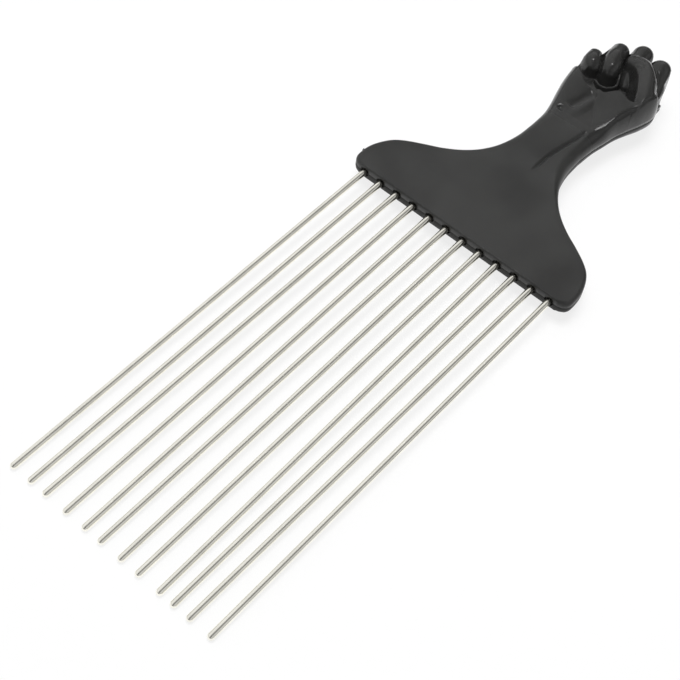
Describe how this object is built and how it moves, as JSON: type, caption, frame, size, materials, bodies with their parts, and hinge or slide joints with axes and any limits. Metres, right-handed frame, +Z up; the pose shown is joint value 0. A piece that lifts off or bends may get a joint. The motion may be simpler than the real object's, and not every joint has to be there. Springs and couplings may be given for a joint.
{
  "type": "afro pick",
  "caption": "Wire-tined afro pick with a moulded two-shell handle in the shape of a raised fist, lying on the back of the fist and the tips of its tines.",
  "frame": {"origin": "middle of the box that holds the pick, on the table that it lies on", "axes": "+X along the row of tines, towards the thumb; +Y from the tips of the tines towards the fist; +Z up from the table, out of the palm side"},
  "size_m": [0.0614, 0.1855, 0.016],
  "materials": {
    "handle_plastic": "moulded, satin on the plate and glossy on the fist",
    "tine_steel": "bright nickel plate on drawn steel wire"
  },
  "bodies": {
    "root": {"front_shell": "handle_plastic", "back_shell": "handle_plastic", "tine_01": "tine_steel", "tine_02": "tine_steel", "tine_03": "tine_steel", "tine_04": "tine_steel", "tine_05": "tine_steel", "tine_06": "tine_steel", "tine_07": "tine_steel", "tine_08": "tine_steel", "tine_09": "tine_steel", "tine_10": "tine_steel", "tine_11": "tine_steel", "tine_12": "tine_steel"}
  },
  "joints": []
}
